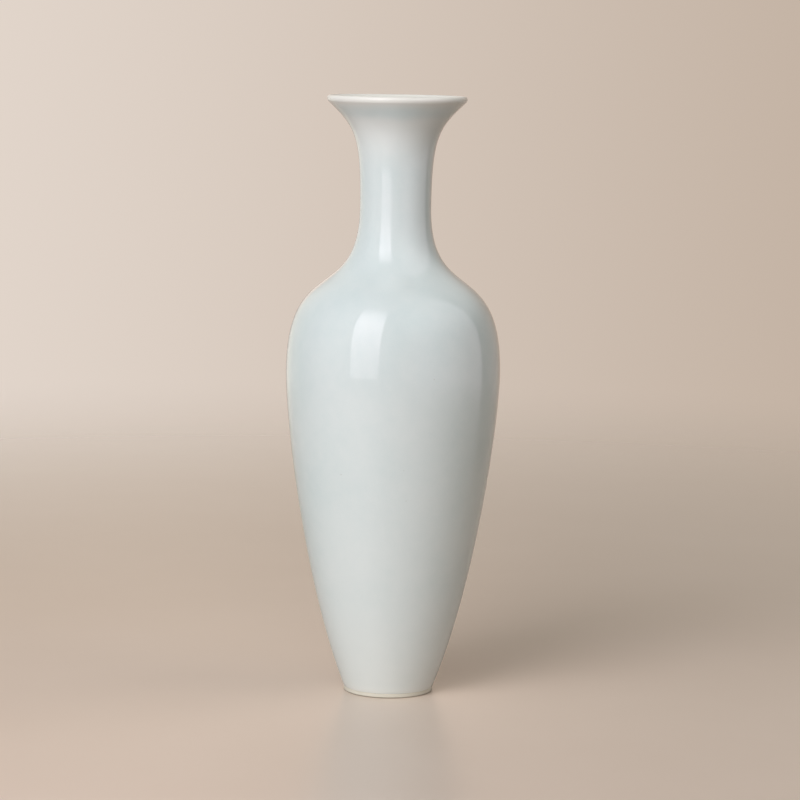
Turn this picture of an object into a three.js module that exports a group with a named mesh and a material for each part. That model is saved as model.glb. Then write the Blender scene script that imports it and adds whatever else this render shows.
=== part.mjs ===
// Willow leaf vase: three thrown porcelain sections, luted together with slip and coated with glaze.
// Millimetres, +Z up. The origin is the centre of the foot ring, on the surface the vase stands on.

import * as THREE from 'three';

const degrees = THREE.MathUtils.degToRad;

// Outline of the glazed outside, from the foot up to the top of the lip
const FOOT_RADIUS = 18; // where the glaze ends, above the bare foot band
const BELLY_RADIUS = 43;
const NECK_RADIUS = 14.2;
const LIP_RADIUS = 27.85; // at the widest point of the lip
const LOWER_RISE = 130; // foot to the widest point of the belly
const SHOULDER_RISE = 66; // belly to the waist of the neck
const MOUTH_RISE = 44; // waist of the neck to the top of the lip
const FOOT_LEAN = degrees(21.8); // lean of the wall from upright above the foot
const LIP_LEAN = degrees(46.7); // lean of the wall from upright at the lip

// How far each end of a curve keeps its direction, as a share of the rise of that section
const FOOT_PULL = 0.35;
const BELLY_PULL_DOWN = 0.15;
const BELLY_PULL_UP = 0.72;
const NECK_PULL_DOWN = 0.61;
const NECK_PULL_UP = 0.64;
const LIP_PULL = 0.325;

// Wall and glaze
const WALL = 3.4; // whole wall: the fired clay and a coat of glaze on each side
const GLAZE = 0.4;
const BARE_FOOT = 1.8; // height of the unglazed band of the foot, which stands upright
const LIP_UNDER_ROUND = 2; // radius of the lip below its widest point
const LIP_TOP_ROUND = 1.2; // radius of the lip from its widest point over to the inside

// Foot ring and floor
const FOOT_RING_WIDTH = 3.4;
const FOOT_RECESS = 5; // depth of the hollow inside the foot ring
const FOOT_CHAMFER = 0.4;
const BASE_THICKNESS = 4.5; // roof of the recess to the floor of the vase, glaze included
const FLOOR_FILLET = 8;

// Luted seams: the lower section ends in a tongue, and the upper one sits over it in a bed of slip
const LAP = 3; // height of the tongue
const SEAM = 0.5; // thickness of the slip
const FIT = 0.05; // clearance between neighbouring pieces

// Smoothness of the turned shapes
const TURNS = 32;
const LOWER_STEPS = 8;
const SHOULDER_STEPS = 12;
const MOUTH_STEPS = 8;
const FLOOR_STEPS = 4;
const LIP_UNDER_STEPS = 3;
const LIP_TOP_STEPS = 6;

// Depths below the glazed outside at which the faces of the wall lie
const CLAY_OUT = GLAZE + FIT;
const CLAY_IN = WALL - GLAZE - FIT;
const SKIRT_FACE = (WALL - SEAM) / 2;
const TONGUE_FACE = (WALL + SEAM) / 2;

// Heights and radii that follow from the sizes above
const BELLY_Z = LOWER_RISE;
const NECK_Z = BELLY_Z + SHOULDER_RISE;
const TOP_Z = NECK_Z + MOUTH_RISE;
const FLOOR_Z = FOOT_RECESS + BASE_THICKNESS;
const RING_INNER_RADIUS = FOOT_RADIUS - FOOT_RING_WIDTH;
const LIP_WALL = LIP_UNDER_ROUND + LIP_TOP_ROUND - (LIP_UNDER_ROUND - LIP_TOP_ROUND) * Math.cos(LIP_LEAN);

const point = (radius, height) => new THREE.Vector2(radius, height);

const FOOT = point(FOOT_RADIUS, BARE_FOOT);
const BELLY = point(BELLY_RADIUS, BELLY_Z);
const NECK = point(NECK_RADIUS, NECK_Z);

// The wall ends in a lip of two rounds, which meet at its widest point and touch the two sides of the wall
const LIP_UNDER_CENTRE = point(LIP_RADIUS - LIP_UNDER_ROUND, TOP_Z - LIP_TOP_ROUND);
const LIP_TOP_CENTRE = point(LIP_RADIUS - LIP_TOP_ROUND, TOP_Z - LIP_TOP_ROUND);
const LIP = point(
  LIP_UNDER_CENTRE.x + LIP_UNDER_ROUND * Math.cos(LIP_LEAN),
  LIP_UNDER_CENTRE.y - LIP_UNDER_ROUND * Math.sin(LIP_LEAN),
);

// A curve of the outline, which leaves its start and reaches its end at a given lean from upright
function outlineCurve(start, startLean, startPull, end, endLean, endPull) {
  const leaving = point(Math.sin(startLean), Math.cos(startLean)).multiplyScalar(startPull);
  const arriving = point(Math.sin(endLean), Math.cos(endLean)).multiplyScalar(endPull);
  return new THREE.CubicBezierCurve(start, start.clone().add(leaving), end.clone().sub(arriving), end);
}

// Where a curve of the outline, which always climbs, passes a height
function placeAtHeight(curve, height) {
  let low = 0;
  let high = 1;
  for (let i = 0; i < 40; i += 1) {
    const middle = (low + high) / 2;
    if (curve.getPoint(middle).y < height) low = middle;
    else high = middle;
  }
  return high;
}

// One section of the outline. All pieces of the wall share its places, so nested shells keep their spacing.
// They lie at the first heights given, and then evenly from the last of those to the end of the curve.
// The wall of the section gets thinner towards the end by the given thinning.
function outlineSection(curve, firstHeights, steps, thinning) {
  const first = firstHeights.map((height) => placeAtHeight(curve, height));
  const from = first.pop();
  const even = Array.from({ length: steps + 1 }, (_, i) => from + ((1 - from) * i) / steps);
  return { curve, places: [...first, ...even], thinning };
}

const lower = outlineSection(
  outlineCurve(FOOT, FOOT_LEAN, FOOT_PULL * LOWER_RISE, BELLY, 0, BELLY_PULL_DOWN * LOWER_RISE),
  [BARE_FOOT, FLOOR_Z + FLOOR_FILLET],
  LOWER_STEPS,
  0,
);
const shoulder = outlineSection(
  outlineCurve(BELLY, 0, BELLY_PULL_UP * SHOULDER_RISE, NECK, 0, NECK_PULL_DOWN * SHOULDER_RISE),
  [BELLY_Z, BELLY_Z + LAP + SEAM],
  SHOULDER_STEPS,
  0,
);
const mouth = outlineSection(
  outlineCurve(NECK, 0, NECK_PULL_UP * MOUTH_RISE, LIP, LIP_LEAN, LIP_PULL * MOUTH_RISE),
  [NECK_Z, NECK_Z + LAP + SEAM],
  MOUTH_STEPS,
  WALL - LIP_WALL,
);

// A point at a given depth below the glazed outside, square to the outline. Where the wall gets thinner,
// the faces past the middle of the wall come nearer to the outside, and the glaze keeps its thickness.
function wallPoint(section, place, depth) {
  const surface = section.curve.getPoint(place);
  const along = section.curve.getTangent(place);
  const thinned = depth > WALL / 2 ? section.thinning * THREE.MathUtils.smoothstep(place, 0, 1) : 0;
  return point(surface.x - along.y * (depth - thinned), surface.y + along.x * (depth - thinned));
}

// The line of one face of the wall up a section, leaving out its first few places
function wallLine(section, depth, skipped = 0) {
  return section.places.slice(skipped).map((place) => wallPoint(section, place, depth));
}

// The line of one face of the wall from a place of the lower section up to the lip
function wholeWallLine(depth, skipped) {
  return [
    ...wallLine(lower, depth, skipped),
    ...wallLine(shoulder, depth, 1),
    ...wallLine(mouth, depth, 1),
  ];
}

// The inside of the vase below the wall: a fillet down to the floor, and the floor in to the axis
function floorLine(depth) {
  const place = placeAtHeight(lower.curve, FLOOR_Z + FLOOR_FILLET);
  const along = lower.curve.getTangent(place);
  const floor = FLOOR_Z - (WALL - depth);
  const start = wallPoint(lower, place, depth);
  const corner = point(start.x - ((start.y - floor) * along.x) / along.y, floor);
  const fillet = new THREE.QuadraticBezierCurve(start, corner, point(corner.x - FLOOR_FILLET, floor));
  return [...fillet.getPoints(FLOOR_STEPS).slice(1), point(0, floor)];
}

// Part of a circle round a centre, as points
function roundLine(centre, radius, start, end, steps) {
  return new THREE.EllipseCurve(centre.x, centre.y, radius, radius, start, end).getPoints(steps);
}

// The lip from the outside over to the inside, where it ends straight across the wall from where it starts
function lipLine(depth, gap) {
  const start = gap / LIP_UNDER_ROUND - LIP_LEAN;
  const inside = wallPoint(mouth, 1, WALL - depth).addScaledVector(mouth.curve.getTangent(1), gap);
  return [
    ...roundLine(LIP_UNDER_CENTRE, LIP_UNDER_ROUND - depth, start, 0, LIP_UNDER_STEPS),
    ...roundLine(LIP_TOP_CENTRE, LIP_TOP_ROUND - depth, 0, Math.PI - LIP_LEAN, LIP_TOP_STEPS).slice(1),
    inside,
  ];
}

// A point of the shelf of the bare foot band, just under the lower edge of the glaze
function footShelfPoint(depth) {
  return wallPoint(lower, 0, depth).addScaledVector(lower.curve.getTangent(0), -FIT);
}

// A point of a seam, at a height above its start
function seamPoint(section, height, depth) {
  const start = section.curve.getPoint(0).y;
  return wallPoint(section, placeAtHeight(section.curve, start + height), depth);
}

// The tongue on top of a section, which reaches up inside the section above it
function tongueLine(above) {
  return [
    seamPoint(above, 0, TONGUE_FACE),
    seamPoint(above, LAP, TONGUE_FACE),
    seamPoint(above, LAP, CLAY_IN),
  ];
}

// The foot of a section that sits over a tongue, from the inside out
function skirtLine(section) {
  return [
    seamPoint(section, LAP + SEAM, CLAY_IN),
    seamPoint(section, LAP + SEAM, SKIRT_FACE),
    seamPoint(section, SEAM, SKIRT_FACE),
    seamPoint(section, SEAM, CLAY_OUT),
  ];
}

// A solid turned about the vertical axis. The outline runs up its outside and down its inside.
function turned(name, outline, material) {
  const geometry = new THREE.LatheGeometry(outline, TURNS);
  const mesh = new THREE.Mesh(geometry, material);
  mesh.name = name;
  mesh.rotation.x = Math.PI / 2;
  return mesh;
}

// A turned ring, whose outline closes on itself
function turnedRing(name, outline, material) {
  return turned(name, [...outline, outline[0].clone()], material);
}

const clay = new THREE.MeshStandardMaterial({ color: 0xcec6b8, roughness: 0.85, metalness: 0 });
const slip = new THREE.MeshStandardMaterial({ color: 0xd9d2c6, roughness: 0.9, metalness: 0 });
const celadon = new THREE.MeshStandardMaterial({ color: 0xd0d8d6, roughness: 0.1, metalness: 0 });
const white = new THREE.MeshStandardMaterial({ color: 0xebe8e0, roughness: 0.12, metalness: 0 });

// Foot ring, base and wall up to the belly
function lowerBody() {
  const shelfEdge = footShelfPoint(0);
  return turned('lower_body', [
    point(0, FOOT_RECESS),
    point(RING_INNER_RADIUS, FOOT_RECESS),
    point(RING_INNER_RADIUS, FOOT_CHAMFER),
    point(RING_INNER_RADIUS + FOOT_CHAMFER, 0),
    point(shelfEdge.x - FOOT_CHAMFER, 0),
    point(shelfEdge.x, FOOT_CHAMFER),
    shelfEdge,
    footShelfPoint(CLAY_OUT),
    ...wallLine(lower, CLAY_OUT, 1),
    ...tongueLine(shoulder),
    ...wallLine(lower, CLAY_IN, 1).reverse(),
    ...floorLine(CLAY_IN),
  ], clay);
}

// Belly up to the waist of the neck
function shoulderSection() {
  return turnedRing('shoulder_section', [
    ...skirtLine(shoulder),
    ...wallLine(shoulder, CLAY_OUT, 1),
    ...tongueLine(mouth),
    ...wallLine(shoulder, CLAY_IN, 2).reverse(),
  ], clay);
}

// Upper neck and trumpet mouth
function mouthSection() {
  return turnedRing('mouth_section', [
    ...skirtLine(mouth),
    ...wallLine(mouth, CLAY_OUT, 1),
    ...lipLine(CLAY_OUT, 0).slice(1),
    ...wallLine(mouth, CLAY_IN, 2).reverse().slice(1),
  ], clay);
}

// The bed of slip between a tongue and the skirt over it
function seamSlip(name, section) {
  const web = { outer: SKIRT_FACE + FIT, inner: TONGUE_FACE - FIT };
  return turnedRing(name, [
    seamPoint(section, FIT, web.inner),
    seamPoint(section, FIT, CLAY_OUT),
    seamPoint(section, SEAM - FIT, CLAY_OUT),
    seamPoint(section, SEAM - FIT, web.outer),
    seamPoint(section, LAP + SEAM - FIT, web.outer),
    seamPoint(section, LAP + SEAM - FIT, CLAY_IN),
    seamPoint(section, LAP + FIT, CLAY_IN),
    seamPoint(section, LAP + FIT, web.inner),
  ], slip);
}

// Celadon coat, from the bare foot band up to the lip
function outerGlaze() {
  return turnedRing('outer_glaze', [
    ...wholeWallLine(0, 0),
    ...wholeWallLine(GLAZE, 0).reverse(),
  ], celadon);
}

// White coat over the lip
function lipGlaze() {
  return turnedRing('lip_glaze', [
    ...lipLine(0, FIT),
    ...lipLine(GLAZE, FIT).reverse(),
  ], white);
}

// Coat on the inside wall and floor
function innerGlaze() {
  return turned('inner_glaze', [
    ...floorLine(WALL - GLAZE).reverse(),
    ...wholeWallLine(WALL - GLAZE, 1),
    ...wholeWallLine(WALL, 1).reverse(),
    ...floorLine(WALL),
  ], white);
}

// Coat on the base, inside the foot ring
function baseGlaze() {
  const edge = RING_INNER_RADIUS - FIT;
  const top = FOOT_RECESS - FIT;
  return turned('base_glaze', [
    point(0, top - GLAZE),
    point(edge, top - GLAZE),
    point(edge, top),
    point(0, top),
  ], white);
}

const vase = new THREE.Group();
vase.name = 'willow_leaf_vase';
vase.add(
  lowerBody(),
  shoulderSection(),
  mouthSection(),
  seamSlip('belly_seam_slip', shoulder),
  seamSlip('neck_seam_slip', mouth),
  outerGlaze(),
  lipGlaze(),
  innerGlaze(),
  baseGlaze(),
);

export default vase;
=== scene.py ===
"""Looks of a willow leaf vase: thrown porcelain under pale celadon glaze, in soft studio light."""
import math

import bpy
from mathutils import Matrix, Vector


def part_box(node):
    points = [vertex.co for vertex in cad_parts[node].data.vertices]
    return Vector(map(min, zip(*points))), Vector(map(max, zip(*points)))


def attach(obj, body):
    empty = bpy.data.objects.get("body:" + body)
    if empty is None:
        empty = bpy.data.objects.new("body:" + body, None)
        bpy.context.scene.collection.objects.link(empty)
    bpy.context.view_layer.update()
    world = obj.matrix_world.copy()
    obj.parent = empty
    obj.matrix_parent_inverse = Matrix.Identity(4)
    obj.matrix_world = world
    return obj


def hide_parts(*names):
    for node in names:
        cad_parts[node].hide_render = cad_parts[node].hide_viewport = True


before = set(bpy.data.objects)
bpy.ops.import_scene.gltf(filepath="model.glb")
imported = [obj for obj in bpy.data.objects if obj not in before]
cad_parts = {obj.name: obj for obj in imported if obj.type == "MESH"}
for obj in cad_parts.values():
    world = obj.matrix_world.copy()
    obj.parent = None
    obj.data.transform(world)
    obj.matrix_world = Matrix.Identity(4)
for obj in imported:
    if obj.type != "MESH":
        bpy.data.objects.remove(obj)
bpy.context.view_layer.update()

# Sizes read from the frame, in metres
FIT = 0.00005  # clearance between neighbouring pieces


def low(node):
    """The lowest corner of a node."""
    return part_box(node)[0]


def high(node):
    """The highest corner of a node."""
    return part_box(node)[1]


GLAZE = high("base_glaze").z - low("base_glaze").z
WALL = high("outer_glaze").x - high("inner_glaze").x + GLAZE
BELLY_RADIUS = high("outer_glaze").x
LIP_RADIUS = high("lip_glaze").x
TOP_Z = high("lip_glaze").z
BELLY_Z = low("belly_seam_slip").z - FIT
NECK_Z = low("neck_seam_slip").z - FIT
BARE_FOOT = low("outer_glaze").z
FLOOR_Z = low("inner_glaze").z + GLAZE
RECESS_Z = high("base_glaze").z + FIT
RING_INNER_RADIUS = high("base_glaze").x + FIT
SEAM_HEIGHT = high("belly_seam_slip").z - BELLY_Z + FIT

# Outline of the glazed outside between those sizes. Pulls are shares of the rise of their section.
FOOT_RADIUS = 0.018  # where the glaze ends, above the bare foot band
NECK_RADIUS = 0.0142
FOOT_LEAN = math.radians(21.8)
LIP_LEAN = math.radians(46.7)
FOOT_PULL = 0.35
BELLY_PULL_DOWN = 0.15
BELLY_PULL_UP = 0.72
NECK_PULL_DOWN = 0.61
NECK_PULL_UP = 0.64
LIP_PULL = 0.325

# Lip, foot, floor and seams
LIP_UNDER_ROUND = 0.002  # radius of the lip below its widest point
LIP_TOP_ROUND = 0.0012  # radius of the lip from its widest point over to the inside
LIP_WALL = LIP_UNDER_ROUND + LIP_TOP_ROUND - (LIP_UNDER_ROUND - LIP_TOP_ROUND) * math.cos(LIP_LEAN)
FOOT_ROUND = 0.0005  # worn edges of the foot ring
FLOOR_FILLET = 0.008
SEAM = 0.0005  # thickness of the slip in a seam
LAP = SEAM_HEIGHT - SEAM

# Glaze that ran, and marks of the throwing
GLAZE_EDGE = 0.0001  # radius of the lower edge of the glaze
BEAD = 0.00006  # how far the roll of glaze above the foot stands out
BEAD_HEIGHT = 0.0025
MENISCUS = 0.0007  # glaze drawn down the inside of the foot ring
THROWING_RING = 0.00008  # depth of the rings left inside by the fingers
THROWING_PITCH = 0.0055
LIP_GAP = 0.00001  # between the celadon and the white of the lip

# Depths of the faces of the wall below the glazed outside
CLAY_OUT = GLAZE + FIT
CLAY_IN = WALL - GLAZE - FIT
SKIRT_FACE = (WALL - SEAM) / 2
TONGUE_FACE = (WALL + SEAM) / 2

# Smoothness of the turned pieces, and how near points are merged
TURNS = 144
WALL_STEPS = 44
INSIDE_STEPS = 120
ROUND_STEPS = 8
FLOOR_STEPS = 12
LIP_STEPS = 20
SHARP_ANGLE = math.radians(35)
MERGE = LIP_GAP / 5
HALVINGS = 40


def outline_curve(start, start_lean, start_pull, end, end_lean, end_pull, thinning=0.0):
    """A curve of the outline, with its lean from upright at each end and how much thinner its wall gets."""
    leaving = Vector((math.sin(start_lean), math.cos(start_lean))) * start_pull
    arriving = Vector((math.sin(end_lean), math.cos(end_lean))) * end_pull
    return start, start + leaving, end - arriving, end, thinning


def direction_at(curve, place):
    """The direction of a curve at a place on it, from 0 to 1."""
    a, b, c, d, _ = curve
    rest = 1 - place
    return ((b - a) * rest**2 + (c - b) * (2 * rest * place) + (d - c) * place**2).normalized()


def on_curve(curve, place, depth=0.0):
    """The point at a place on a curve, at a depth square to it. The inside of a thin wall comes nearer."""
    a, b, c, d, thinning = curve
    rest = 1 - place
    along = direction_at(curve, place)
    surface = a * rest**3 + b * (3 * rest**2 * place) + c * (3 * rest * place**2) + d * place**3
    if depth > WALL / 2:
        depth -= thinning * place**2 * (3 - 2 * place)
    return surface + Vector((-along.y, along.x)) * depth


def place_at_height(curve, height):
    """Where a curve, which always climbs, passes a height."""
    lowest, highest = 0.0, 1.0
    for _ in range(HALVINGS):
        middle = (lowest + highest) / 2
        if on_curve(curve, middle).y < height:
            lowest = middle
        else:
            highest = middle
    return highest


LIP_UNDER_CENTRE = Vector((LIP_RADIUS - LIP_UNDER_ROUND, TOP_Z - LIP_TOP_ROUND))
LIP_TOP_CENTRE = Vector((LIP_RADIUS - LIP_TOP_ROUND, TOP_Z - LIP_TOP_ROUND))
LIP_EDGE = LIP_UNDER_CENTRE + Vector((math.cos(LIP_LEAN), -math.sin(LIP_LEAN))) * LIP_UNDER_ROUND
FOOT = Vector((FOOT_RADIUS, BARE_FOOT))
BELLY = Vector((BELLY_RADIUS, BELLY_Z))
NECK = Vector((NECK_RADIUS, NECK_Z))
SHOULDER_RISE = NECK_Z - BELLY_Z
MOUTH_RISE = TOP_Z - NECK_Z
INSIDE_START = FLOOR_Z + FLOOR_FILLET

LOWER = outline_curve(FOOT, FOOT_LEAN, FOOT_PULL * BELLY_Z, BELLY, 0.0, BELLY_PULL_DOWN * BELLY_Z)
SHOULDER = outline_curve(
    BELLY, 0.0, BELLY_PULL_UP * SHOULDER_RISE, NECK, 0.0, NECK_PULL_DOWN * SHOULDER_RISE
)
MOUTH = outline_curve(
    NECK, 0.0, NECK_PULL_UP * MOUTH_RISE, LIP_EDGE, LIP_LEAN, LIP_PULL * MOUTH_RISE, WALL - LIP_WALL
)


def wall_line(curve, depth, start_height=0.0, steps=WALL_STEPS):
    """One face of the wall up a curve, from a height on it."""
    first = place_at_height(curve, start_height)
    return [on_curve(curve, first + (1 - first) * i / steps, depth) for i in range(steps + 1)]


def arc(centre, radius, start, end, steps=ROUND_STEPS):
    """Points round a centre from one angle to another."""
    angles = [start + (end - start) * i / steps for i in range(steps + 1)]
    return [centre + Vector((math.cos(angle), math.sin(angle))) * radius for angle in angles]


def lip_line(depth, gap=0.0):
    """The lip from the outside over to the inside, where it ends straight across from its start."""
    under = arc(LIP_UNDER_CENTRE, LIP_UNDER_ROUND - depth, gap / LIP_UNDER_ROUND - LIP_LEAN, 0.0, LIP_STEPS)
    over = arc(LIP_TOP_CENTRE, LIP_TOP_ROUND - depth, 0.0, math.pi - LIP_LEAN, LIP_STEPS)
    inside = on_curve(MOUTH, 1.0, WALL - depth) + direction_at(MOUTH, 1.0) * gap
    return under + over[1:] + [inside]


def foot_shelf_point(depth):
    """A point of the shelf of the bare foot band, just under the lower edge of the glaze."""
    return on_curve(LOWER, 0.0, depth) - direction_at(LOWER, 0.0) * FIT


def floor_line(depth):
    """The inside below the wall: a fillet down to the floor, and the floor in to the axis."""
    place = place_at_height(LOWER, INSIDE_START)
    along = direction_at(LOWER, place)
    floor = FLOOR_Z - (WALL - depth)
    start = on_curve(LOWER, place, depth)
    corner = Vector((start.x - (start.y - floor) * along.x / along.y, floor))
    end = Vector((corner.x - FLOOR_FILLET, floor))
    fillet = []
    for i in range(1, FLOOR_STEPS + 1):
        share = i / FLOOR_STEPS
        fillet.append(start * (1 - share) ** 2 + corner * (2 * share * (1 - share)) + end * share**2)
    return fillet + [Vector((0.0, floor))]


def seam_point(curve, height, depth):
    """A point of a seam, at a height above the start of the section over it."""
    return on_curve(curve, place_at_height(curve, curve[0].y + height), depth)


def tongue_line(above):
    """The tongue on top of a section, which reaches up inside the section above it."""
    return [
        seam_point(above, 0.0, TONGUE_FACE),
        seam_point(above, LAP, TONGUE_FACE),
        seam_point(above, LAP, CLAY_IN),
    ]


def skirt_line(curve):
    """The foot of a section that sits over a tongue, from the inside out."""
    return [
        seam_point(curve, SEAM_HEIGHT, CLAY_IN),
        seam_point(curve, SEAM_HEIGHT, SKIRT_FACE),
        seam_point(curve, SEAM, SKIRT_FACE),
        seam_point(curve, SEAM, CLAY_OUT),
    ]


# Materials
class Wire:
    """A socket of a node tree. Sums of wires and numbers add Math nodes to the tree."""

    def __init__(self, tree, socket=None):
        self.tree = tree
        self.socket = socket

    def feed(self, node, sockets):
        """Gives sockets of a node their values or wires."""
        for name, value in sockets.items():
            if isinstance(value, Wire):
                self.tree.links.new(value.socket, node.inputs[name])
            else:
                node.inputs[name].default_value = value

    def node(self, kind, settings=None, sockets=None, output=0):
        """Adds a node of any kind, with its settings set first, and gives one of its outputs."""
        added = self.tree.nodes.new("ShaderNode" + kind)
        for name, value in (settings or {}).items():
            setattr(added, name, value)
        self.feed(added, sockets or {})
        return Wire(self.tree, added.outputs[output])

    def other(self, output):
        """Another output of the same node."""
        return Wire(self.tree, self.socket.node.outputs[output])

    def math(self, operation, *values):
        """A Math node on numbers and wires."""
        return self.node("Math", {"operation": operation}, dict(enumerate(values)))

    def __add__(self, other):
        return self.math("ADD", self, other)

    def __sub__(self, other):
        return self.math("SUBTRACT", self, other)

    def __rsub__(self, other):
        return self.math("SUBTRACT", other, self)

    def __mul__(self, other):
        return self.math("MULTIPLY", self, other)

    __radd__ = __add__
    __rmul__ = __mul__

    def ramp(self, start, end):
        """Goes smoothly from 0 to 1 as this value goes from start to end."""
        settings = {"interpolation_type": "SMOOTHSTEP"}
        return self.node("MapRange", settings, {"Value": self, "From Min": start, "From Max": end})

    def blend(self, first, second):
        """Mixes two colours by this value, through the colour sockets of a Mix node."""
        return self.node("Mix", {"data_type": "RGBA"}, {0: self, 6: first, 7: second}, 2)

    def tint(self, colour):
        """A colour as strong as this value."""
        return self.node("VectorMath", {"operation": "SCALE"}, {0: colour, "Scale": self})

    def plus(self, other):
        """The sum of two colours."""
        return self.node("VectorMath", {"operation": "ADD"}, {0: self, 1: other})

    def part(self, axis):
        """One part of a position or a direction: its X, Y or Z."""
        return self.node("SeparateXYZ", {}, {"Vector": self}, axis)

    def noise(self, size, detail=2.0):
        """Noise of a given size in metres at this position, around 0."""
        return self.node("TexNoise", {}, {"Vector": self, "Scale": 1 / size, "Detail": detail}) - 0.5

    def dots(self, size):
        """Distance to the nearest of scattered points about a size apart, in shares of that size."""
        return self.node("TexVoronoi", {}, {"Vector": self, "Scale": 1 / size})

    def bump(self):
        """A normal that follows this height in metres."""
        return self.node("Bump", {}, {"Height": self, "Distance": 1.0, "Strength": 1.0})


def new_material(name):
    """A material, its shader and the position on a piece, where its wires start."""
    material = bpy.data.materials.new(name)
    material.use_nodes = True
    place = Wire(material.node_tree).node("TexCoord", output="Object")
    return material, material.node_tree.nodes["Principled BSDF"], place


# Colours of the glazes, the clay and the slip
CELADON_DEEP = (0.575, 0.665, 0.68, 1.0)
CELADON_THIN = (0.685, 0.735, 0.745, 1.0)
LIP_WHITE = (0.81, 0.79, 0.75, 1.0)
WHITE = (0.80, 0.79, 0.75, 1.0)
WHITE_SHADE = (0.75, 0.745, 0.70, 1.0)
BISCUIT = (0.67, 0.64, 0.56, 1.0)
BISCUIT_DARK = (0.58, 0.50, 0.40, 1.0)
# Grime where the foot stands, darkened further as painted contact shadow along the bottom of the foot ring
GRIME_AND_CONTACT_SHADE = (0.20, 0.16, 0.12, 1.0)
SLIP = (0.694, 0.644, 0.565, 1.0)
SLIP_DARK = (0.62, 0.56, 0.47, 1.0)
SPECK = (0.30, 0.24, 0.17, 1.0)

# Grain of both glazes, in metres
BUBBLE_SIZE = 0.0005
BUBBLE_HEIGHT = 0.000001
CLOUD_DETAIL = 3.0  # octaves of the noise in clouds and patches

# Unevenness of the celadon, in metres
DRIFT_SIZE = 0.045
CLOUD_SIZE = 0.005
SWELL_SIZE = 0.018
SWELL_HEIGHT = 0.00003
PINHOLE_PITCH = 0.011
PINHOLE = (0.022, 0.012)  # rim and middle of a pinhole, in shares of the pitch
PINHOLE_SHARE = 0.5

# Where the celadon is thick or thin, in metres: a pair is where that starts and where it is full
RUNOFF = 0.0062  # depth below the top of the lip that the celadon ran off
POOL_AND_SHADE_BOTTOM = (0.0095, 0.0065)  # the darker stretch under the lip, pooled glaze and painted shade under the flare, by depth below the top
POOL_AND_SHADE_TOP = (0.002, 0.0045)
THIN_NECK_BOTTOM = (0.032, 0.012)  # the thin stretch of the neck below the darker stretch under the lip
THIN_NECK_TOP = (0.0065, 0.0115)
CREAMY_NECK = 0.06
# Towards the foot the celadon is paler and creamier: thinner glaze, and painted light bounced up from the
# floor
CREAM_AND_BOUNCE_FOOT = 0.045  # heights above the foot
THIN_AND_BOUNCE_FOOT = 0.06
WIPED = (0.004, -0.0005)  # height above the lower edge of the glaze

# Depth of the celadon from thin, 0, to deep, 1, and how far each of these changes it
USUAL_DEPTH = 0.35
DRIFT_DEPTH = 1.1
CLOUD_DEPTH = 0.35
BUBBLE_DEPTH = 0.25
# How much deeper the glaze is under the lip: pooled glaze, and painted shade under the flare
POOL_AND_SHADE_DEPTH = 0.2
THIN_NECK_DEPTH = 0.35
# How much paler towards the foot: thinner glaze, and painted light bounced up from the floor
THIN_AND_BOUNCE_FOOT_DEPTH = 0.3

# Shares of white in the celadon
# The share of white towards the foot is partly painted light bounced up from the floor
CREAM_AND_BOUNCE_FOOT_WHITE = 0.2
CREAMY_NECK_WHITE = 0.14
THIN_NECK_WHITE = 0.2
WIPED_WHITE = 0.3

# Gloss of the celadon
CELADON_ROUGHNESS = 0.055
CLOUD_ROUGHNESS = 0.03
RUNOFF_ROUGHNESS = 0.25
CELADON_IOR = 1.48


def celadon_glaze(name):
    """Pale blue-green glaze: run off the lip; deeper under it, pooled glaze with painted shade under the
    flare; thin on the neck; paler at the foot, thinner glaze with painted light bounced up from the floor.
    """
    material, shader, place = new_material(name)
    height = place.part("Z")
    below_top = TOP_Z - height
    drift = place.noise(DRIFT_SIZE)
    cloud = place.noise(CLOUD_SIZE, CLOUD_DETAIL)
    bubbles = place.noise(BUBBLE_SIZE)
    runoff = below_top.ramp(RUNOFF, 0.0)
    # Deeper glaze under the lip: pooled glaze, and painted shade where the underside of the flare faces
    # down
    pool_and_shade = below_top.ramp(*POOL_AND_SHADE_BOTTOM) * below_top.ramp(*POOL_AND_SHADE_TOP)
    thin_neck = below_top.ramp(*THIN_NECK_BOTTOM) * below_top.ramp(*THIN_NECK_TOP)
    wiped = (height - BARE_FOOT).ramp(*WIPED)
    depth = USUAL_DEPTH + drift * DRIFT_DEPTH + cloud * CLOUD_DEPTH + bubbles * BUBBLE_DEPTH
    depth = depth + pool_and_shade * POOL_AND_SHADE_DEPTH - thin_neck * THIN_NECK_DEPTH
    # Paler and creamier towards the foot: thinner glaze, and painted light bounced up from the floor
    depth = depth - height.ramp(THIN_AND_BOUNCE_FOOT, 0.0) * THIN_AND_BOUNCE_FOOT_DEPTH
    cream_and_bounce = height.ramp(CREAM_AND_BOUNCE_FOOT, 0.0) * CREAM_AND_BOUNCE_FOOT_WHITE + thin_neck * THIN_NECK_WHITE
    cream_and_bounce = cream_and_bounce + below_top.ramp(CREAMY_NECK, 0.0) * CREAMY_NECK_WHITE
    colour = depth.ramp(0.0, 1.0).blend(CELADON_THIN, CELADON_DEEP)
    colour = cream_and_bounce.blend(colour, LIP_WHITE)
    colour = (runoff + wiped * WIPED_WHITE).blend(colour, LIP_WHITE)
    pinholes = place.dots(PINHOLE_PITCH).ramp(*PINHOLE) * PINHOLE_SHARE
    swell = place.noise(SWELL_SIZE) * SWELL_HEIGHT + bubbles * BUBBLE_HEIGHT
    place.feed(shader, {
        "Base Color": pinholes.blend(colour, SPECK),
        "Roughness": CELADON_ROUGHNESS + cloud * CLOUD_ROUGHNESS + runoff * RUNOFF_ROUGHNESS,
        "IOR": CELADON_IOR,
        "Normal": swell.bump(),
    })
    return material


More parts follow.
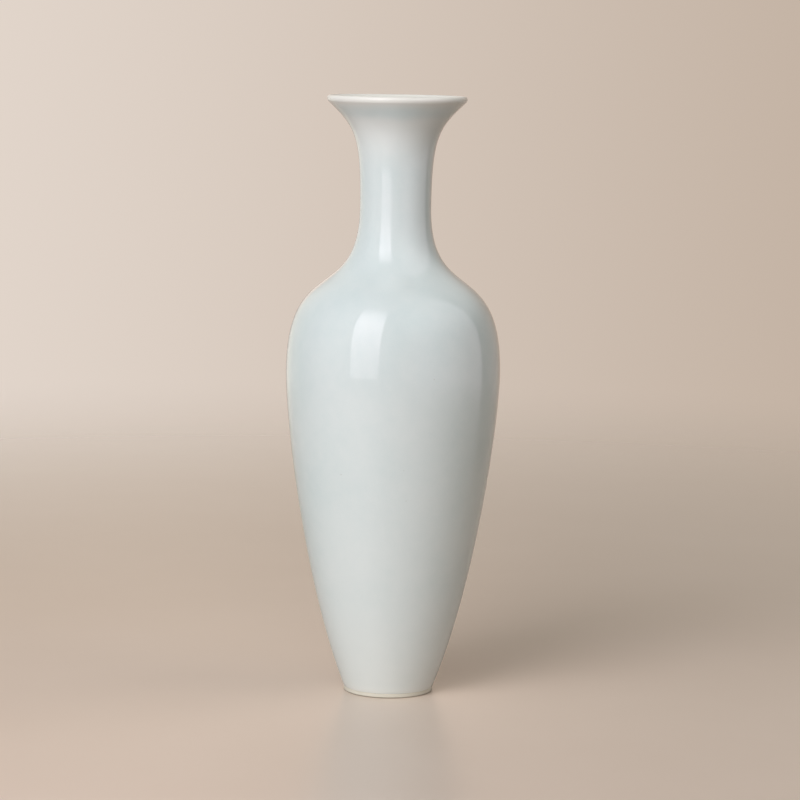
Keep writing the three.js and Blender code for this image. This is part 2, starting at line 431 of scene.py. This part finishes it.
# Warm white glaze: sizes in metres, and its tone from white, 0, to shaded, 1
WHITE_DRIFT_SIZE = 0.03
WHITE_CLOUD_SIZE = 0.006
WHITE_SWELL_SIZE = 0.012
WHITE_SWELL_HEIGHT = 0.00002
WHITE_TONE = 0.4
WHITE_CLOUD_TONE = 0.4
WHITE_BUBBLE_TONE = 0.2
WHITE_ROUGHNESS = 0.07
WHITE_CLOUD_ROUGHNESS = 0.04
WHITE_IOR = 1.52


def white_glaze():
    """Warm white glaze with a faint drift in its tone."""
    material, shader, place = new_material("white_glaze")
    drift = place.noise(WHITE_DRIFT_SIZE)
    cloud = place.noise(WHITE_CLOUD_SIZE, CLOUD_DETAIL)
    bubbles = place.noise(BUBBLE_SIZE)
    tone = WHITE_TONE + drift + cloud * WHITE_CLOUD_TONE + bubbles * WHITE_BUBBLE_TONE
    swell = place.noise(WHITE_SWELL_SIZE) * WHITE_SWELL_HEIGHT + bubbles * BUBBLE_HEIGHT
    place.feed(shader, {
        "Base Color": tone.ramp(0.0, 1.0).blend(WHITE, WHITE_SHADE),
        "Roughness": WHITE_ROUGHNESS + cloud * WHITE_CLOUD_ROUGHNESS,
        "IOR": WHITE_IOR,
        "Normal": swell.bump(),
    })
    return material


# Bare porcelain: sizes in metres, and its tone from pale, 0, to dark, 1
GRAIN_SIZE = 0.00025
GRAIN_HEIGHT = 0.00006
PATCH_SIZE = 0.004
BISCUIT_TONE = 0.12
PATCH_TONE = 0.45
GRAIN_TONE = 0.45
# Grime and painted contact shadow along the bottom of the foot ring: its height and strength
GRIME_AND_SHADE_HEIGHT = FOOT_ROUND * 1.4
GRIME_AND_SHADE_SHARE = 0.8
PATCH_GRIME_AND_SHADE = 0.5
IRON_PITCH = 0.0024
IRON_SPECK = (0.10, 0.05)  # rim and middle of an iron speck, in shares of the pitch
IRON_SHARE = 0.35
BISCUIT_ROUGHNESS = 0.78
GRAIN_ROUGHNESS = 0.25
BISCUIT_IOR = 1.5


def biscuit():
    """Bare fired porcelain: a fine matt grain, a few iron specks, and grime with painted contact shadow
    where it stands.
    """
    material, shader, place = new_material("biscuit_porcelain")
    grain = place.noise(GRAIN_SIZE, CLOUD_DETAIL)
    patch = place.noise(PATCH_SIZE, CLOUD_DETAIL)
    # Darker at the very bottom of the foot ring: grime, and painted contact shadow
    grime_and_shade = place.part("Z").ramp(GRIME_AND_SHADE_HEIGHT, 0.0) * (GRIME_AND_SHADE_SHARE + patch * PATCH_GRIME_AND_SHADE)
    tone = BISCUIT_TONE + patch * PATCH_TONE + grain * GRAIN_TONE
    colour = grime_and_shade.blend(tone.ramp(0.0, 1.0).blend(BISCUIT, BISCUIT_DARK), GRIME_AND_CONTACT_SHADE)
    iron = place.dots(IRON_PITCH).ramp(*IRON_SPECK) * IRON_SHARE
    place.feed(shader, {
        "Base Color": iron.blend(colour, SPECK),
        "Roughness": BISCUIT_ROUGHNESS + grain * GRAIN_ROUGHNESS,
        "IOR": BISCUIT_IOR,
        "Normal": (grain * GRAIN_HEIGHT).bump(),
    })
    return material


# Slip: sizes in metres, and its tone from pale, 0, to dark, 1
SMEAR_SIZE = 0.003
SMEAR_DETAIL = 4.0
SMEAR_HEIGHT = 0.0001
SLIP_GRAIN_SIZE = 0.0004
SLIP_TONE = 0.5
SMEAR_TONE = 1.2
SLIP_GRAIN_TONE = 0.3
SLIP_ROUGHNESS = 0.85
SMEAR_ROUGHNESS = 0.2


def luting_slip():
    """Fired slip, smeared round the seam as it was wiped."""
    material, shader, place = new_material("luting_slip")
    smear = place.noise(SMEAR_SIZE, SMEAR_DETAIL)
    tone = SLIP_TONE + smear * SMEAR_TONE + place.noise(SLIP_GRAIN_SIZE) * SLIP_GRAIN_TONE
    place.feed(shader, {
        "Base Color": tone.ramp(0.0, 1.0).blend(SLIP, SLIP_DARK),
        "Roughness": SLIP_ROUGHNESS + smear * SMEAR_ROUGHNESS,
        "Normal": (smear * SMEAR_HEIGHT).bump(),
    })
    return material


# Pieces
def turned_piece(name, outline, node, material):
    """Draws an outline point by point, spins it round the Z axis and puts it in the place of a node."""
    bpy.ops.object.select_all(action="DESELECT")
    bpy.ops.mesh.primitive_plane_add(size=GLAZE)
    piece = bpy.context.object
    piece.name = name
    bpy.ops.object.mode_set(mode="EDIT")
    bpy.ops.mesh.select_all(action="SELECT")
    bpy.ops.mesh.merge(type="CENTER")
    bpy.ops.transform.translate(value=(outline[0].x, 0.0, outline[0].y))
    for here, there in zip(outline, outline[1:]):
        step = there - here
        bpy.ops.mesh.extrude_region_move(TRANSFORM_OT_translate={"value": (step.x, 0.0, step.y)})
    bpy.ops.mesh.select_all(action="SELECT")
    bpy.ops.mesh.spin(steps=TURNS, angle=2 * math.pi, center=(0, 0, 0), axis=(0, 0, 1))
    bpy.ops.mesh.select_all(action="SELECT")
    bpy.ops.mesh.remove_doubles(threshold=MERGE)
    bpy.ops.mesh.normals_make_consistent(inside=False)
    bpy.ops.object.mode_set(mode="OBJECT")
    bpy.ops.object.shade_smooth_by_angle(angle=SHARP_ANGLE)
    piece.data.materials.append(material)
    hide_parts(node)
    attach(piece, "root")


def turned_ring(name, outline, node, material):
    """A turned piece whose outline closes on itself."""
    turned_piece(name, outline + [outline[0]], node, material)


def celadon_coat(glaze):
    """The coat on the outside. Its lower edge is round, with a slight roll above it where the glaze ran."""
    first = place_at_height(LOWER, BARE_FOOT + GLAZE_EDGE * math.cos(FOOT_LEAN))
    # The places lie closer together towards the foot, where the roll is
    places = [first + (1 - first) * (i / WALL_STEPS) ** 2 for i in range(WALL_STEPS + 1)]
    outside = []
    for place in places:
        above = (on_curve(LOWER, place).y - BARE_FOOT) / BEAD_HEIGHT
        roll = BEAD * math.sin(math.pi * above) ** 2 if above < 1 else 0.0
        outside.append(on_curve(LOWER, place, -roll))
    inside = [on_curve(LOWER, place, GLAZE) for place in places]
    edge = [on_curve(LOWER, 0.0, GLAZE)]
    edge += arc(on_curve(LOWER, first, GLAZE_EDGE), GLAZE_EDGE, -math.pi / 2 - FOOT_LEAN, -FOOT_LEAN)
    upper_outside = wall_line(SHOULDER, 0.0)[1:] + wall_line(MOUTH, 0.0)[1:]
    upper_inside = wall_line(SHOULDER, GLAZE)[1:] + wall_line(MOUTH, GLAZE)[1:]
    outline = edge + outside[1:] + upper_outside + upper_inside[::-1] + inside[::-1]
    turned_ring("celadon_coat", outline, "outer_glaze", glaze)


def white_lip(glaze):
    """The coat over the lip."""
    outline = lip_line(0.0, LIP_GAP) + lip_line(GLAZE, LIP_GAP)[::-1]
    turned_ring("white_lip", outline, "lip_glaze", glaze)


def inner_coat(glaze):
    """The coat on the inside wall and floor, which shows the rings of the throwing below the neck."""
    faces = []
    for curve, start in ((LOWER, INSIDE_START), (SHOULDER, BELLY_Z)):
        first = place_at_height(curve, start)
        for i in range(INSIDE_STEPS):
            place = first + (1 - first) * i / INSIDE_STEPS
            height = on_curve(curve, place).y
            fade = min(1.0, (height - INSIDE_START) / THROWING_PITCH, (NECK_Z - height) / THROWING_PITCH)
            swell = THROWING_RING * fade * math.sin(math.pi * height / THROWING_PITCH) ** 2
            faces.append(on_curve(curve, place, WALL + swell))
    outside = wall_line(LOWER, WALL - GLAZE, INSIDE_START) + wall_line(SHOULDER, WALL - GLAZE)[1:]
    outside += wall_line(MOUTH, WALL - GLAZE)[1:]
    outline = floor_line(WALL - GLAZE)[::-1] + outside
    outline += wall_line(MOUTH, WALL)[::-1] + faces[::-1] + floor_line(WALL)
    turned_piece("inner_coat", outline, "inner_glaze", glaze)


def base_coat(glaze):
    """The coat on the base inside the foot ring, drawn down a little where it meets the ring."""
    edge = RING_INNER_RADIUS - FIT
    top = RECESS_Z - FIT
    bottom = top - GLAZE
    corner = arc(Vector((edge - MENISCUS, bottom - MENISCUS)), MENISCUS, math.pi / 2, 0.0)
    outline = [Vector((0.0, bottom))] + corner + [Vector((edge, top)), Vector((0.0, top))]
    turned_piece("base_coat", outline, "base_glaze", glaze)


def lower_clay(clay):
    """The thrown section below the belly: foot ring with worn edges, base, wall and tongue."""
    shelf_edge = foot_shelf_point(0.0)
    inner_centre = Vector((RING_INNER_RADIUS + FOOT_ROUND, FOOT_ROUND))
    outer_centre = Vector((shelf_edge.x - FOOT_ROUND, FOOT_ROUND))
    inner_edge = arc(inner_centre, FOOT_ROUND, math.pi, math.pi * 1.5)
    outer_edge = arc(outer_centre, FOOT_ROUND, -math.pi / 2, 0.0)
    outline = [Vector((0.0, RECESS_Z)), Vector((RING_INNER_RADIUS, RECESS_Z))] + inner_edge + outer_edge
    outline += [shelf_edge, foot_shelf_point(CLAY_OUT)] + wall_line(LOWER, CLAY_OUT)[1:]
    outline += tongue_line(SHOULDER)
    outline += wall_line(LOWER, CLAY_IN, INSIDE_START)[::-1] + floor_line(CLAY_IN)
    turned_piece("lower_clay", outline, "lower_body", clay)


def shoulder_clay(clay):
    """The thrown section from the belly to the waist of the neck."""
    outline = skirt_line(SHOULDER) + wall_line(SHOULDER, CLAY_OUT, BELLY_Z + SEAM_HEIGHT)
    outline += tongue_line(MOUTH) + wall_line(SHOULDER, CLAY_IN, BELLY_Z + SEAM_HEIGHT)[:0:-1]
    turned_ring("shoulder_clay", outline, "shoulder_section", clay)


def mouth_clay(clay):
    """The thrown section of the upper neck and the trumpet mouth."""
    outline = skirt_line(MOUTH) + wall_line(MOUTH, CLAY_OUT, NECK_Z + SEAM_HEIGHT)
    outline += lip_line(CLAY_OUT)[1:] + wall_line(MOUTH, CLAY_IN, NECK_Z + SEAM_HEIGHT)[-2:0:-1]
    turned_ring("mouth_clay", outline, "mouth_section", clay)


def seam_slip(name, curve, node, slip):
    """The bed of slip between a tongue and the skirt over it."""
    outer = SKIRT_FACE + FIT
    inner = TONGUE_FACE - FIT
    outline = [
        seam_point(curve, FIT, inner),
        seam_point(curve, FIT, CLAY_OUT),
        seam_point(curve, SEAM - FIT, CLAY_OUT),
        seam_point(curve, SEAM - FIT, outer),
        seam_point(curve, SEAM_HEIGHT - FIT, outer),
        seam_point(curve, SEAM_HEIGHT - FIT, CLAY_IN),
        seam_point(curve, LAP + FIT, CLAY_IN),
        seam_point(curve, LAP + FIT, inner),
    ]
    turned_ring(name, outline, node, slip)


white = white_glaze()
clay = biscuit()
slip = luting_slip()
# The celadon and the lip share one finish, so its run-off passes from coat to coat without a step
celadon_coat(celadon_glaze("celadon_glaze"))
white_lip(celadon_glaze("lip_glaze"))
inner_coat(white)
base_coat(white)
lower_clay(clay)
shoulder_clay(clay)
mouth_clay(clay)
seam_slip("belly_seam", SHOULDER, "belly_seam_slip", slip)
seam_slip("neck_seam", MOUTH, "neck_seam_slip", slip)

# Camera at the viewing angle of the photograph
LENS = 135.4
SENSOR = 36.0
CAMERA_DISTANCE = 1.2
CAMERA_HEIGHT = 0.2645
CAMERA_PITCH = math.radians(6.946)
CAMERA_PAN = math.radians(-0.1436)
CAMERA_ROLL = math.radians(0.935)

bpy.ops.object.camera_add()
camera = bpy.context.object
camera.data.lens = LENS
camera.data.sensor_width = SENSOR
camera.matrix_world = (
    Matrix.Translation((0.0, -CAMERA_DISTANCE, CAMERA_HEIGHT))
    @ Matrix.Rotation(CAMERA_PAN, 4, "Z")
    @ Matrix.Rotation(math.pi / 2 - CAMERA_PITCH, 4, "X")
    @ Matrix.Rotation(CAMERA_ROLL, 4, "Z")
)
bpy.context.scene.camera = camera

# Floor, which fades into the backdrop, in metres from the axis
FLOOR_SIZE = 8.0
FADE = (0.22, 1.1)
FLOOR_COLOUR = (0.695, 0.575, 0.485, 1.0)
FLOOR_LIGHT = (0.755, 0.635, 0.55, 1.0)
FLOOR_TONE = 0.5
FLOOR_CLOUD_TONE = 0.8
FLOOR_CLOUD_SIZE = 0.12
FLOOR_CLOUD_DETAIL = 4.0
FLOOR_ROUGHNESS = 0.32


def studio_floor():
    """A plain satin floor, which lets the backdrop through farther from the vase."""
    material, shader, place = new_material("studio_floor")
    away = place.node("VectorMath", {"operation": "LENGTH"}, {0: place}, "Value")
    tone = FLOOR_TONE + place.noise(FLOOR_CLOUD_SIZE, FLOOR_CLOUD_DETAIL) * FLOOR_CLOUD_TONE
    colour = tone.ramp(0.0, 1.0).blend(FLOOR_COLOUR, FLOOR_LIGHT)
    place.feed(shader, {"Base Color": colour, "Roughness": FLOOR_ROUGHNESS})
    surface = Wire(material.node_tree, shader.outputs[0])
    clear = place.node("BsdfTransparent")
    mixed = place.node("MixShader", {}, {0: away.ramp(*FADE), 1: surface, 2: clear})
    place.feed(material.node_tree.nodes["Material Output"], {"Surface": mixed})
    bpy.ops.object.select_all(action="DESELECT")
    bpy.ops.mesh.primitive_plane_add(size=FLOOR_SIZE)
    floor = bpy.context.object
    floor.name = "studio_floor"
    floor.data.materials.append(material)


# Panels of light: a softbox to the left of the camera and a reflector on the right.
# An edge is given by its distance from the axis and its height.
SOFTBOX_AZIMUTH = math.radians(-30)
SOFTBOX_WIDTH = 0.39
SOFTBOX_LOW = (0.75, 0.066)
SOFTBOX_HIGH = (0.45, 1.16)
SOFTBOX_FOOT = 1.8  # radiance at its lower end
SOFTBOX_CORE = 4.1  # radiance halfway up, where its lamp sits
SOFTBOX_COLOUR = (1.0, 0.91, 0.98, 1.0)
REFLECTOR_AZIMUTH = math.radians(82)
REFLECTOR_WIDTH = 0.76
REFLECTOR_LOW = (0.75, 0.35)
REFLECTOR_HIGH = (0.55, 1.45)
REFLECTOR_GLOW = 1.58  # radiance of its upper half
REFLECTOR_COLOUR = (1.0, 0.91, 0.79, 1.0)
HALFWAY = 0.5


def heading(azimuth, elevation=0.0):
    """A direction from the vase. Azimuth 0 is towards the camera, and positive to its right."""
    flat = math.cos(elevation)
    return Vector((math.sin(azimuth) * flat, -math.cos(azimuth) * flat, math.sin(elevation)))


def light_panel(name, azimuth, width, lower_edge, upper_edge, colour):
    """A soft panel facing the vase. Gives its lamp, its emission and the share of its height."""
    outward = heading(azimuth)
    lower = outward * lower_edge[0] + Vector((0.0, 0.0, lower_edge[1]))
    upper = outward * upper_edge[0] + Vector((0.0, 0.0, upper_edge[1]))
    up = (upper - lower).normalized()
    side = up.cross(outward).normalized()
    turn = Matrix((side, up, side.cross(up))).transposed().to_4x4()
    bpy.ops.object.light_add(type="AREA")
    lamp = bpy.context.object
    lamp.name = name
    lamp.matrix_world = Matrix.Translation((lower + upper) / 2) @ turn
    lamp.visible_camera = False
    lamp.data.shape = "RECTANGLE"
    lamp.data.size = width
    lamp.data.size_y = (upper - lower).length
    lamp.data.energy = math.pi * lamp.data.size * lamp.data.size_y  # a strength of 1 is a radiance of 1
    lamp.data.use_nodes = True
    emission = lamp.data.node_tree.nodes["Emission"]
    emission.inputs["Color"].default_value = colour
    spot = Wire(lamp.data.node_tree).node("NewGeometry", output="Parametric")
    return lamp, emission, spot.part("Y")


def softbox():
    """The main light, brightest halfway up."""
    _, emission, rise = light_panel(
        "softbox", SOFTBOX_AZIMUTH, SOFTBOX_WIDTH, SOFTBOX_LOW, SOFTBOX_HIGH, SOFTBOX_COLOUR
    )
    core = rise.ramp(0.0, HALFWAY) * rise.ramp(1.0, HALFWAY)
    rise.feed(emission, {"Strength": rise.ramp(HALFWAY, 0.0) * SOFTBOX_FOOT + core * SOFTBOX_CORE})


def reflector():
    """A dimmer panel, lit in its upper half. The glaze mirrors the white board instead of it."""
    lamp, emission, rise = light_panel(
        "reflector", REFLECTOR_AZIMUTH, REFLECTOR_WIDTH, REFLECTOR_LOW, REFLECTOR_HIGH, REFLECTOR_COLOUR
    )
    lamp.visible_glossy = False
    rise.feed(emission, {"Strength": rise.ramp(0.0, HALFWAY) * REFLECTOR_GLOW})


# Glow of the room, by azimuth and elevation. A higher focus is a narrower glow.
FRONT_GLOW = (2.50, 2.79, 2.61)
FRONT_GLOW_AIM = (math.radians(-30), math.radians(27))
FRONT_GLOW_FOCUS = 8.0
BACK_GLOW = (0.7, 0.7, 0.66)
BACK_GLOW_AIM = (math.radians(180), math.radians(5))
BACK_GLOW_FOCUS = 6.0
HORIZON = (-0.25, 0.05)  # rise of the directions over which the glow begins

# Backdrop, and the cards around the vase that glaze and floor mirror. A pair is where a part of the
# direction, from -1 to 1, begins to show a card and where it shows it in full.
BACKDROP = (0.78, 0.69, 0.62, 1.0)
BACKDROP_SHADE = (0.53, 0.43, 0.35, 1.0)
BACKDROP_ACROSS = (-0.22, 0.22)
RIGHT_CARD = (0.60, 0.65, 0.68)
RIGHT_CARD_ACROSS = (0.3, 0.95)
BOARD = (1.06, 0.96, 1.05)  # white board on the right, which ends a quarter turn from its azimuth
BOARD_ACROSS = (0.1, 0.6)
BOARD_AZIMUTH = math.radians(20)
BOARD_EDGE = (-0.03, 0.03)
LEFT_CARD = (0.63, 0.67, 0.60)
LEFT_CARD_ACROSS = (-0.2, -0.45)
LEFT_CARD_BACK = (0.1, 0.6)
BACK_CARD = (0.58, 0.46, 0.38)
BACK_CARD_BACK = (0.3, 0.95)
SHEEN = (0.82, 0.64, 0.50)  # bright patch of the back card, which lies on the floor as a sheen
SHEEN_ACROSS = (0.1, -0.1)
SHEEN_BACK = (0.9, 1.0)
SHEEN_RISE = (0.02, 0.10)
TOP_CARD = (0.90, 1.00, 1.00)
TOP_CARD_ACROSS = (-0.1, 0.4)
TOP_CARD_RISE = (0.2, 0.7)


def facing(toward, azimuth, elevation=0.0):
    """How far directions point the same way as a heading, from 1 to -1."""
    aim = heading(azimuth, elevation)
    return toward.node("VectorMath", {"operation": "DOT_PRODUCT"}, {0: toward, 1: aim}, "Value")


def glow(toward, aim, focus, colour):
    """Light of the room around one heading. It is gone a quarter turn away, and below the horizon."""
    ahead = toward.math("MAXIMUM", facing(toward, *aim), 0.0)
    return (toward.math("POWER", ahead, focus) * toward.part("Z").ramp(*HORIZON)).tint(colour)


def mirrored_cards(toward):
    """The cards around the vase, which only reflections see."""
    across = toward.part("X")
    back = toward.part("Y")
    rise = toward.part("Z")
    on_right = across.ramp(*RIGHT_CARD_ACROSS)
    on_board = across.ramp(*BOARD_ACROSS) * facing(toward, BOARD_AZIMUTH).ramp(*BOARD_EDGE)
    on_left = across.ramp(*LEFT_CARD_ACROSS) * back.ramp(*LEFT_CARD_BACK)
    behind = back.ramp(*BACK_CARD_BACK)
    on_sheen = across.ramp(*SHEEN_ACROSS) * back.ramp(*SHEEN_BACK) * rise.ramp(*SHEEN_RISE)
    overhead = across.ramp(*TOP_CARD_ACROSS) * rise.ramp(*TOP_CARD_RISE)
    cards = on_right.tint(RIGHT_CARD).plus(on_board.tint(BOARD)).plus(on_left.tint(LEFT_CARD))
    return cards.plus(behind.tint(BACK_CARD)).plus(on_sheen.tint(SHEEN)).plus(overhead.tint(TOP_CARD))


def studio_world():
    """Soft light of the room. The camera sees a pale backdrop instead, and reflections see the cards."""
    world = bpy.data.worlds.new("studio")
    bpy.context.scene.world = world
    world.use_nodes = True
    toward = Wire(world.node_tree).node("TexCoord", output="Generated")
    light = glow(toward, FRONT_GLOW_AIM, FRONT_GLOW_FOCUS, FRONT_GLOW)
    light = light.plus(glow(toward, BACK_GLOW_AIM, BACK_GLOW_FOCUS, BACK_GLOW))
    backdrop = toward.part("X").ramp(*BACKDROP_ACROSS).blend(BACKDROP, BACKDROP_SHADE)
    ray = toward.node("LightPath", output="Is Camera Ray")
    shiny = ray.other("Is Glossy Ray") + ray.other("Is Transmission Ray")
    colour = ray.blend(shiny.blend(light, mirrored_cards(toward)), backdrop)
    toward.feed(world.node_tree.nodes["Background"], {"Color": colour})


studio_floor()
softbox()
reflector()
studio_world()
bpy.context.scene.view_settings.view_transform = "Standard"
